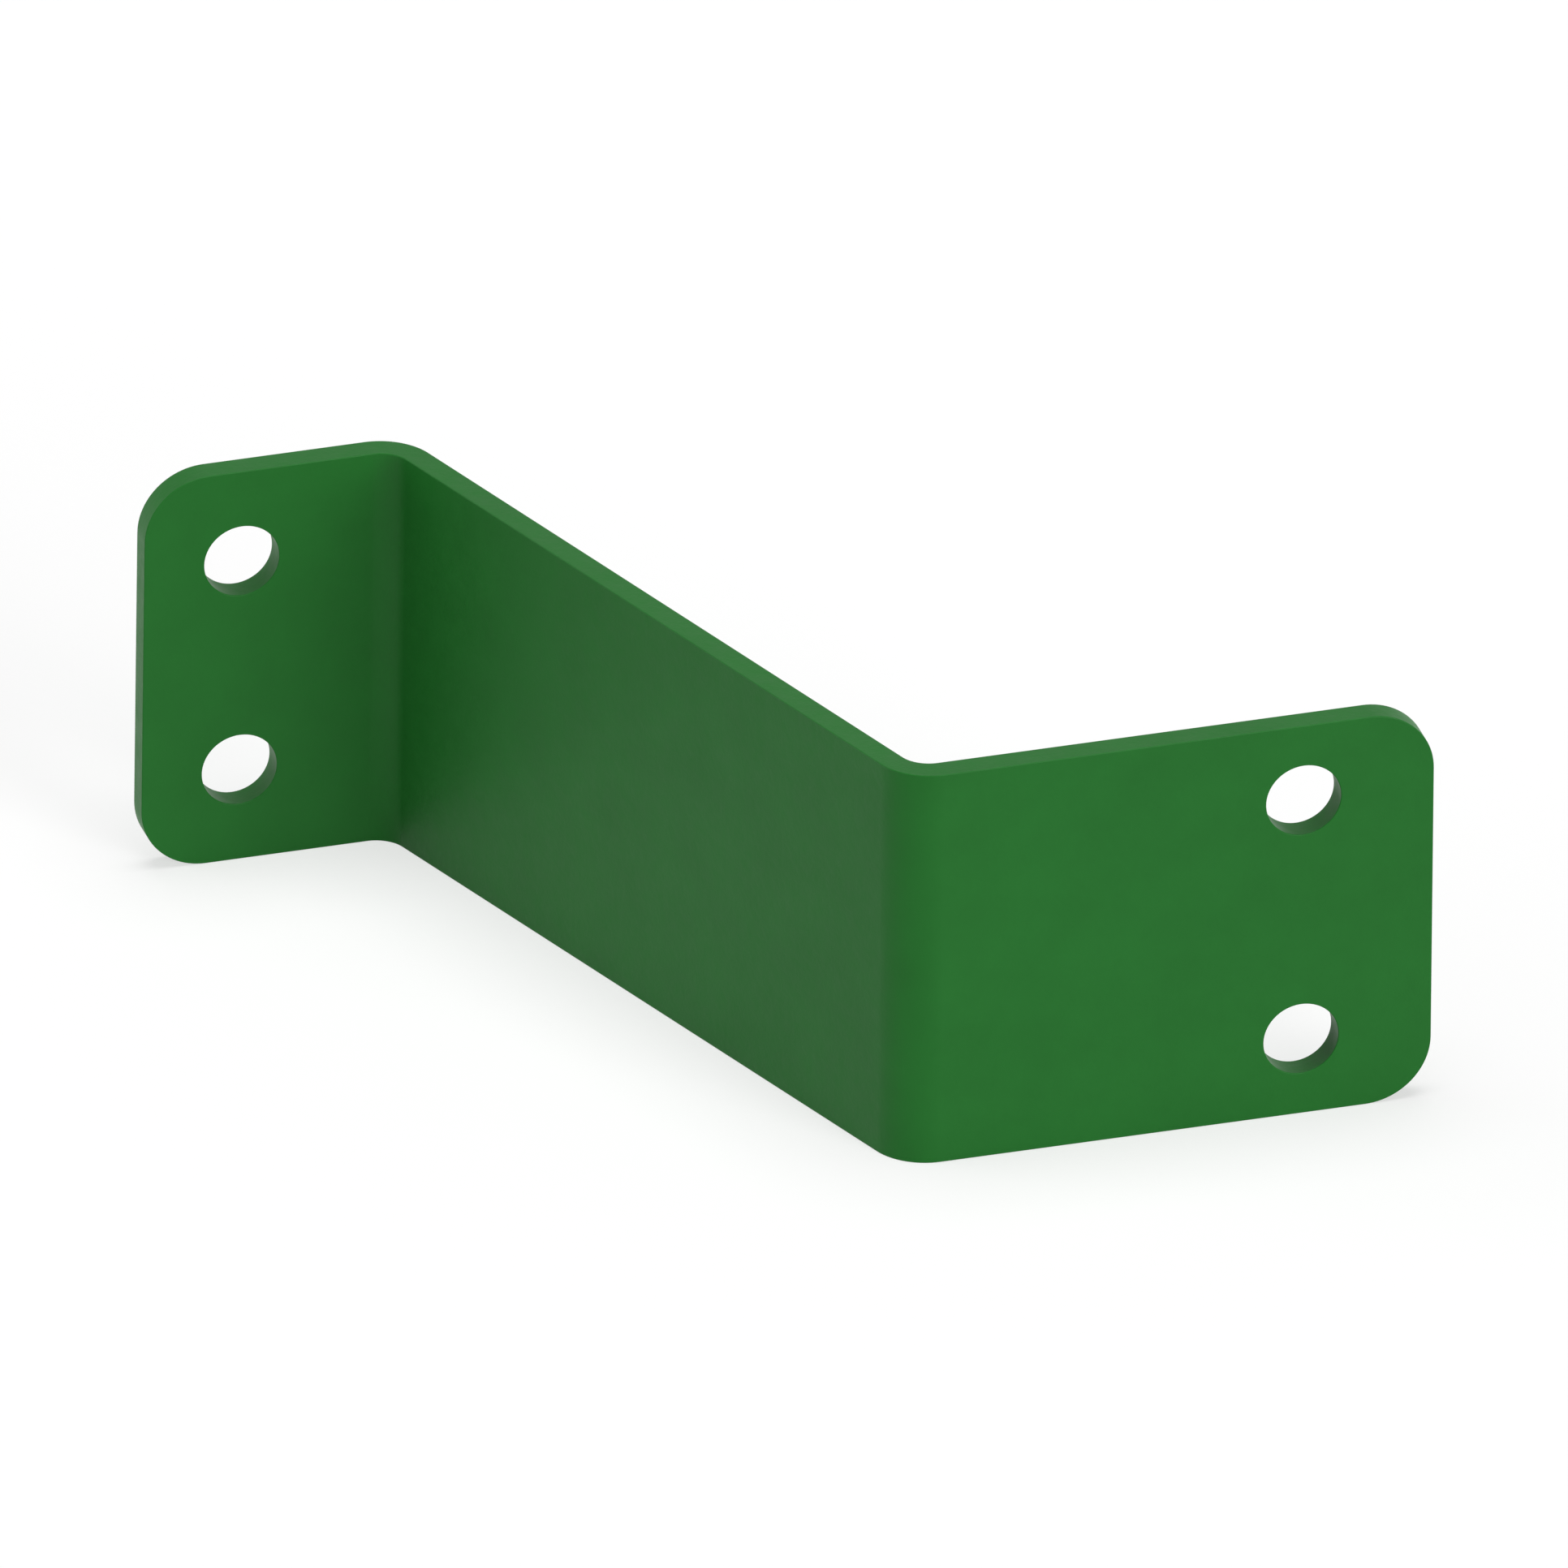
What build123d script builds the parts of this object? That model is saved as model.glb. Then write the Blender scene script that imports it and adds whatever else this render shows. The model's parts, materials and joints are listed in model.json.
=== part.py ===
from build123d import *
from math import atan2, tan
import os

# Manifold bracket: one strip of steel plate, folded twice into a Z and standing on its long
# edge. A short flange at the back left and a long flange at the front right are parallel, and
# a slanted web joins them. Each flange takes two bolts.
# Sizes are in millimetres. X runs along the flanges, Y goes from front to back and Z is up,
# across the strip. The origin is the middle of the overall box, at its underside.

# The plate
plate_width = 82.55
sheet = 5.0
inner_bend_radius = 6.0
corner_radius = 12.7

# The folds: how far the second flange is set off from the first, across and along the
# flanges, and each flange's length from the outside corner of its fold to its end
flange_offset = 148.6
flange_run = 55.2
short_flange_length = 51.85
long_flange_length = 103.25

# The bolt holes: each pair is centred across the strip, and the inset is from the flange's end
hole_diameter = 14.6
short_flange_hole_inset = 19.05
short_flange_hole_spacing = 44.45
long_flange_hole_inset = 25.4
long_flange_hole_spacing = 50.8

# Each fold turns the strip by this angle, in radians, and its sharp corner on the outside face
# lies this far along the flange from the one on the inside face
bend_angle = atan2(flange_offset, flange_run)
corner_shift = sheet * tan(bend_angle / 2)
outer_bend_radius = inner_bend_radius + sheet

# Where the ends and the folds' sharp corners lie along X, on the front face
overall_length = short_flange_length - corner_shift + flange_run + long_flange_length
short_end = -overall_length / 2
long_end = overall_length / 2
back_fold = short_end + short_flange_length - corner_shift
front_fold = long_end - long_flange_length

# Where the front face of each flange lies along Y
overall_depth = flange_offset + sheet
long_flange_face = -overall_depth / 2
short_flange_face = long_flange_face + flange_offset


def bolt_holes(end_distance, face, spacing):
    """Two holes through a flange, one above the other, seen square on to its front face."""
    middle = (end_distance, face, plate_width / 2)
    with Locations(Plane(middle, x_dir=(1, 0, 0), z_dir=(0, -1, 0))):
        with Locations((0, -spacing / 2), (0, spacing / 2)):
            Hole(hole_diameter / 2)


with BuildPart() as bracket:
    with BuildLine() as front_face:
        FilletPolyline(
            (short_end, short_flange_face),
            (back_fold, short_flange_face),
            (front_fold, long_flange_face),
            (long_end, long_flange_face),
            radius=(inner_bend_radius, outer_bend_radius),
        )
    make_brake_formed(thickness=sheet, station_widths=plate_width, side=Side.LEFT)

    # The only edges along Y are the strip's four outer corners
    end_corners = bracket.edges().filter_by(Axis.Y)
    fillet(end_corners, radius=corner_radius)

    bolt_holes(short_end + short_flange_hole_inset, short_flange_face, short_flange_hole_spacing)
    bolt_holes(long_end - long_flange_hole_inset, long_flange_face, long_flange_hole_spacing)

bracket.part.label = "bracket"

os.makedirs("parts", exist_ok=True)
export_step(bracket.part, "parts/bracket.step")
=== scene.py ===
import json
from functools import partial
from math import atan2, cos, hypot, pi, radians, sin, tan

import bmesh
import bpy
from mathutils import Matrix, Vector


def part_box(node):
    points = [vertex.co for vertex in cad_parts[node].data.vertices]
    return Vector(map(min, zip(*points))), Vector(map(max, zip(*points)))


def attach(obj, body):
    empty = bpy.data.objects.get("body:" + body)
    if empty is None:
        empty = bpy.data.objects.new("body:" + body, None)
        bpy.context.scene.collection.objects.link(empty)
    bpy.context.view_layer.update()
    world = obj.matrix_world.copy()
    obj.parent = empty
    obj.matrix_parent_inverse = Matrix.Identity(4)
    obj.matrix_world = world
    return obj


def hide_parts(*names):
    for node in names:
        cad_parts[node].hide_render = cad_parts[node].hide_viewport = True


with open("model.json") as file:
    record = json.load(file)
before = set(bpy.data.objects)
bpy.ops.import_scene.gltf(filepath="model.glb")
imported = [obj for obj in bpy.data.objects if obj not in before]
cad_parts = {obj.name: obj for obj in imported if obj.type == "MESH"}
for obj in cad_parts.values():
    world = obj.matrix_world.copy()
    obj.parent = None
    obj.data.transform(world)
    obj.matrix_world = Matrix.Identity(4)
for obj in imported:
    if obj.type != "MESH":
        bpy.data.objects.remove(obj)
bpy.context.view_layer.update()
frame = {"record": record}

# A manifold bracket folded from one strip of steel plate and painted green, standing on a pale
# floor. X runs along the flanges, Y goes from front to back and Z is up. Sizes are in metres.
# The angles of the camera and the lamps are in degrees, and all others in radians. The strip is
# built flat, with its cut edges rounded, and then folded.

# The strip: its overall box, its sheet and its holes come from the frame
lowest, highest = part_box("bracket")
mounts = {mount["name"]: mount for mount in frame["record"]["mounts"]}
short_flange_face = mounts["short_flange_front"]["pos_m"][1]
sheet = mounts["short_flange_back"]["pos_m"][1] - short_flange_face
plate_width = highest.z - lowest.z
flange_offset = highest.y - lowest.y - sheet
flange_run = 0.0552
long_flange_length = 0.10325
inner_bend_radius = 0.006
corner_radius = 0.0127
edge_radius = 0.0002
millimetre = 0.001

# How finely the round shapes are divided
bend_steps = 24
corner_steps = 24
hole_steps = 96
edge_steps = 4

# The folded strip as runs of one length and one turn each, measured along the middle of the
# sheet from the short flange's end. The first fold turns right and the second one left.
bend_angle = atan2(flange_offset, flange_run)
bend_tangent = tan(bend_angle / 2)
outer_bend_radius = inner_bend_radius + sheet
bend_length = (inner_bend_radius + sheet / 2) * bend_angle
back_fold = highest.x - long_flange_length - flange_run
short_flat = back_fold - lowest.x - inner_bend_radius * bend_tangent
web_flat = hypot(flange_offset, flange_run) - (inner_bend_radius + outer_bend_radius) * bend_tangent
long_flat = long_flange_length - outer_bend_radius * bend_tangent
runs = (
    (short_flat, 0),
    (bend_length, -bend_angle),
    (web_flat, 0),
    (bend_length, bend_angle),
    (long_flat, 0),
)
strip_length = sum(length for length, turn in runs)

# The paint: its green and its roughness each vary between two values in soft patches, and its
# surface has the orange peel of a sprayed coat, with a finer grain on it
dark_green = (0.0087, 0.1205, 0.0135, 1)
light_green = (0.0099, 0.1315, 0.0153, 1)
colour_patch = 0.012
low_roughness = 0.40
high_roughness = 0.48
roughness_patch = 0.003
peel_size = 0.0016
peel_height = 5e-5
grain_size = 0.0004
grain_height = 4e-6
reflection_level = 0.16

# Soft noise seldom leaves this range
noise_low = 0.3
noise_high = 0.7

# The camera looks at the middle of the object without perspective
camera_azimuth = -17.16
camera_elevation = 28.71
camera_roll = 0.67
view_width = 0.29306
camera_distance = 1.5

# The light: wide soft lamps, each with its name, azimuth, elevation, spread and the light that it
# gives a white surface turned to it, and the light that the room gives from all sides
lamps = (
    ("key", 27, 15, 30, 0.66),
    ("top", 0, 90, 40, 0.62),
    ("fill", -110, 15, 40, 0.29),
)
room_light = 0.15

# The floor: the share of its light that it gives back to the object, and the share of plain
# white that it shows where it is seen, which keeps its shadow light
floor_colour = 0.85
floor_glow = 0.6
floor_size = 8


def arc(along, height, radius, start, end, steps):
    """Points on an arc of the flat strip, its two ends included."""
    turns = [start + (end - start) * step / steps for step in range(steps + 1)]
    return [(along + radius * cos(turn), height + radius * sin(turn)) for turn in turns]


def fold_lines():
    """Where the flat strip has its cross lines: all through both folds."""
    first = [short_flat + bend_length * step / bend_steps for step in range(bend_steps + 1)]
    return first + [line + bend_length + web_flat for line in first]


def outline(inset):
    """The flat strip's outline, drawn in by the inset, with a point at the ends of each cross line."""
    radius = corner_radius - inset
    left, right = corner_radius, strip_length - corner_radius
    low, high = corner_radius, plate_width - corner_radius
    lines = fold_lines()
    return (
        arc(left, low, radius, pi, 1.5 * pi, corner_steps)
        + [(line, inset) for line in lines]
        + arc(right, low, radius, 1.5 * pi, 2 * pi, corner_steps)
        + arc(right, high, radius, 0, pi / 2, corner_steps)
        + [(line, plate_width - inset) for line in reversed(lines)]
        + arc(left, high, radius, pi / 2, pi, corner_steps)
    )


def hole_circles():
    """The bolt holes on the flat strip, from the bolt mounts: each one's centre and radius."""
    circles = []
    for name in ("short_flange_bolts", "long_flange_bolts"):
        centre, dims = mounts[name]["pos_m"], mounts[name]["dims"]
        along = centre[0] - lowest.x
        if centre[0] > 0:
            along = strip_length - (highest.x - centre[0])
        for side in (-0.5, 0.5):
            height = centre[2] - lowest.z + side * dims["spacing_y_mm"] * millimetre
            circles.append((along, height, dims["hole_r_mm"] * millimetre))
    return circles


def hole_outline(along, height, radius, inset):
    """A hole's outline on the flat strip, widened by the inset."""
    return arc(along, height, radius + inset, 0, 2 * pi, hole_steps)[:-1]


def edge_profile():
    """The rounded edge of the sheet, from the front face to the back: each step's inset and depth."""
    turns = [pi / 2 * step / edge_steps for step in range(edge_steps + 1)]
    front = [(edge_radius * (1 - sin(turn)), edge_radius * (1 - cos(turn))) for turn in turns]
    return front + [(inset, sheet - depth) for inset, depth in reversed(front)]


def wall(mesh, loop_at):
    """The wall through the sheet along a closed loop. Returns its rings at the two faces."""
    rings = []
    for inset, depth in edge_profile():
        rings.append([mesh.verts.new((along, depth, height)) for along, height in loop_at(inset)])
    for near, far in zip(rings, rings[1:]):
        for index in range(len(near)):
            mesh.faces.new((near[index - 1], near[index], far[index], far[index - 1]))
    return rings[0], rings[-1]


def cover(mesh, border, holes):
    """One face of the flat strip: quads over the folds and the web, and a panel at each end."""
    lines = len(fold_lines())
    corner_points = corner_steps + 1
    # The border follows the outline: along the bottom edge to the right, and back along the top
    bottom = border[corner_points : corner_points + lines]
    top = border[3 * corner_points + lines : 3 * corner_points + 2 * lines][::-1]
    for index in range(1, lines):
        mesh.faces.new((bottom[index - 1], bottom[index], top[index], top[index - 1]))
    points = set(border).union(*holes)
    rim = [edge for edge in mesh.edges if len(edge.link_faces) == 1 and points.issuperset(edge.verts)]
    bmesh.ops.triangle_fill(mesh, edges=rim, use_beauty=True)


def folded(along, depth, height):
    """Where a point of the flat strip lies once the strip is folded."""
    x, y, heading = lowest.x, short_flange_face + sheet / 2, 0
    for length, turn in runs:
        step = min(along, length)
        along -= step
        if turn:
            radius, bend = length / turn, turn * step / length
            x += radius * (sin(heading + bend) - sin(heading))
            y -= radius * (cos(heading + bend) - cos(heading))
            heading += bend
        else:
            x += step * cos(heading)
            y += step * sin(heading)
    offset = depth - sheet / 2
    return Vector((x - offset * sin(heading), y + offset * cos(heading), lowest.z + height))


def build_bracket():
    """The painted strip, built flat and folded, with normals that keep its flat faces flat."""
    mesh = bmesh.new()
    border = wall(mesh, outline)
    holes = [wall(mesh, partial(hole_outline, *circle)) for circle in hole_circles()]
    for face in (0, 1):
        cover(mesh, border[face], [hole[face] for hole in holes])
    for point in mesh.verts:
        point.co = folded(*point.co)
    bmesh.ops.recalc_face_normals(mesh, faces=mesh.faces)
    for polygon in mesh.faces:
        polygon.smooth = True
    data = bpy.data.meshes.new("painted_bracket")
    mesh.to_mesh(data)
    mesh.free()
    bracket = bpy.data.objects.new("painted_bracket", data)
    bpy.context.scene.collection.objects.link(bracket)
    bracket.modifiers.new("flat faces", "WEIGHTED_NORMAL")
    return bracket


def noise(nodes, links, place, size, detail):
    """Soft noise with features of about this size."""
    texture = nodes.new("ShaderNodeTexNoise")
    texture.inputs["Scale"].default_value = 1 / size
    texture.inputs["Detail"].default_value = detail
    links.new(place, texture.inputs["Vector"])
    return texture.outputs["Fac"]


def spread(nodes, links, value, low, high):
    """The range of a soft noise, spread over the range from low to high."""
    mapped = nodes.new("ShaderNodeMapRange")
    mapped.inputs["From Min"].default_value = noise_low
    mapped.inputs["From Max"].default_value = noise_high
    mapped.inputs["To Min"].default_value = low
    mapped.inputs["To Max"].default_value = high
    links.new(value, mapped.inputs["Value"])
    return mapped.outputs["Result"]


def bump(nodes, links, height, distance, below=None):
    """A bump of this height in metres, on top of the one below."""
    relief = nodes.new("ShaderNodeBump")
    relief.inputs["Distance"].default_value = distance
    links.new(height, relief.inputs["Height"])
    if below:
        links.new(below, relief.inputs["Normal"])
    return relief.outputs["Normal"]


def green_paint():
    """Satin green paint over steel: nearly even, with the fine unevenness of a sprayed coat."""
    material = bpy.data.materials.new("satin_green")
    material.use_nodes = True
    nodes, links = material.node_tree.nodes, material.node_tree.links
    shader = nodes["Principled BSDF"]
    shader.inputs["Specular IOR Level"].default_value = reflection_level
    place = nodes.new("ShaderNodeTexCoord").outputs["Object"]

    colour = nodes.new("ShaderNodeMix")
    colour.data_type = "RGBA"
    colour.inputs["A"].default_value = dark_green
    colour.inputs["B"].default_value = light_green
    patches = noise(nodes, links, place, colour_patch, detail=4)
    links.new(spread(nodes, links, patches, 0, 1), colour.inputs["Factor"])
    links.new(colour.outputs["Result"], shader.inputs["Base Color"])

    gloss = noise(nodes, links, place, roughness_patch, detail=3)
    links.new(spread(nodes, links, gloss, low_roughness, high_roughness), shader.inputs["Roughness"])

    orange_peel = bump(nodes, links, noise(nodes, links, place, peel_size, detail=2), peel_height)
    grain_noise = noise(nodes, links, place, grain_size, detail=1)
    links.new(bump(nodes, links, grain_noise, grain_height, orange_peel), shader.inputs["Normal"])
    return material


def seen_directly(nodes, links):
    """1 where the camera sees a surface, itself or in a reflection, and 0 where it only lights others."""
    path = nodes.new("ShaderNodeLightPath")
    value = path.outputs["Is Camera Ray"]
    for ray in ("Is Glossy Ray", "Is Transmission Ray"):
        either = nodes.new("ShaderNodeMath")
        either.operation = "MAXIMUM"
        links.new(value, either.inputs[0])
        links.new(path.outputs[ray], either.inputs[1])
        value = either.outputs[0]
    return value


def floor_paper():
    """The floor's material: matt, and part plain white where it is seen."""
    material = bpy.data.materials.new("floor")
    material.use_nodes = True
    nodes, links = material.node_tree.nodes, material.node_tree.links
    nodes.remove(nodes["Principled BSDF"])
    seen = seen_directly(nodes, links)
    colour = nodes.new("ShaderNodeMapRange")
    colour.inputs["To Min"].default_value = floor_colour
    links.new(seen, colour.inputs["Value"])
    paper = nodes.new("ShaderNodeBsdfDiffuse")
    links.new(colour.outputs["Result"], paper.inputs["Color"])
    share = nodes.new("ShaderNodeMath")
    share.operation = "MULTIPLY"
    share.inputs[1].default_value = floor_glow
    links.new(seen, share.inputs[0])
    white = nodes.new("ShaderNodeEmission")
    surface = nodes.new("ShaderNodeMixShader")
    links.new(share.outputs[0], surface.inputs[0])
    links.new(paper.outputs["BSDF"], surface.inputs[1])
    links.new(white.outputs["Emission"], surface.inputs[2])
    links.new(surface.outputs["Shader"], nodes["Material Output"].inputs["Surface"])
    return material


def make_floor():
    """A plain pale floor, which looks white where no shadow falls on it."""
    half = floor_size / 2
    data = bpy.data.meshes.new("floor")
    corners = ((-half, -half), (half, -half), (half, half), (-half, half))
    data.from_pydata([(x, y, lowest.z) for x, y in corners], [], [(0, 1, 2, 3)])
    data.materials.append(floor_paper())
    floor = bpy.data.objects.new("floor", data)
    bpy.context.scene.collection.objects.link(floor)


def make_lamps():
    """The wide soft lamps."""
    for name, azimuth, elevation, spread_angle, light in lamps:
        sun = bpy.data.lights.new(name, "SUN")
        sun.angle = radians(spread_angle)
        sun.energy = light * pi
        lamp = bpy.data.objects.new(name, sun)
        lamp.rotation_euler = (radians(90 - elevation), 0, radians(azimuth))
        bpy.context.scene.collection.objects.link(lamp)


def make_room():
    """A room that looks white and gives a dimmer light of its own."""
    world = bpy.data.worlds.new("room")
    world.use_nodes = True
    nodes, links = world.node_tree.nodes, world.node_tree.links
    strength = nodes.new("ShaderNodeMapRange")
    strength.inputs["To Min"].default_value = room_light
    links.new(seen_directly(nodes, links), strength.inputs["Value"])
    nodes["Background"].inputs["Color"].default_value = (1, 1, 1, 1)
    links.new(strength.outputs["Result"], nodes["Background"].inputs["Strength"])
    bpy.context.scene.world = world


def make_camera():
    """A camera without perspective, aimed at the middle of the object."""
    data = bpy.data.cameras.new("camera")
    data.type = "ORTHO"
    data.ortho_scale = view_width
    camera = bpy.data.objects.new("camera", data)
    turn = (
        Matrix.Rotation(radians(camera_azimuth), 4, "Z")
        @ Matrix.Rotation(radians(90 - camera_elevation), 4, "X")
        @ Matrix.Rotation(radians(camera_roll), 4, "Z")
    )
    middle = (lowest + highest) / 2
    camera.matrix_world = Matrix.Translation(middle) @ turn @ Matrix.Translation((0, 0, camera_distance))
    bpy.context.scene.collection.objects.link(camera)
    bpy.context.scene.camera = camera


bracket = build_bracket()
bracket.data.materials.append(green_paint())
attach(bracket, "root")
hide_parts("bracket")

make_floor()
make_lamps()
make_room()
make_camera()
bpy.context.scene.view_settings.view_transform = "Standard"
